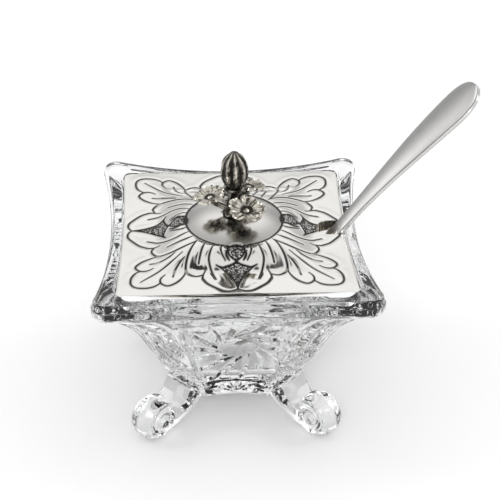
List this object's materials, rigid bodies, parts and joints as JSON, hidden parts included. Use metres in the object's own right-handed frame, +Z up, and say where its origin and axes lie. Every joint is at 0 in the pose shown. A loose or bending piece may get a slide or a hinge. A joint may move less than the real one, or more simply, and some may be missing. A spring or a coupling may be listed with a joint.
{
  "type": "honey dish",
  "caption": "Square cut-glass honey dish on scroll feet, with a lift-off chased silver lid, a flower finial and a leaning silver spoon.",
  "frame": {"origin": "centre of the flat underside of the glass bowl, between the four feet", "axes": "+Z up out of the bowl, +X to the side on which the spoon leans out, -Y to the front"},
  "size_m": [0.1351, 0.1, 0.1278],
  "materials": {
    "clear_glass": "clear cut crystal, polished",
    "polished_silver": "polished silver, chased, with blackened lines",
    "spoon_silver": "plain polished silver",
    "oxidised_silver": "cast silver, oxidised in the hollows and polished on the heights",
    "steel": "plain"
  },
  "bodies": {
    "dish": {"crystal_dish": "clear_glass"},
    "spoon": {"honey_spoon": "spoon_silver"},
    "lid": {"lid_plate": "polished_silver", "finial_stem": "oxidised_silver", "finial_bud": "oxidised_silver", "finial_flower_front": "oxidised_silver", "finial_flower_left": "oxidised_silver", "finial_flower_back": "oxidised_silver", "finial_washer": "steel", "finial_screw": "steel"}
  },
  "joints": [
    {"name": "spoon_lift", "type": "slide", "parent": "dish", "child": "spoon", "axis": [0, 0, 1], "range_m": [0, 0.075]},
    {"name": "lid_lift", "type": "slide", "parent": "spoon", "child": "lid", "axis": [0, 0, 1], "range_m": [0, 0.11]}
  ]
}
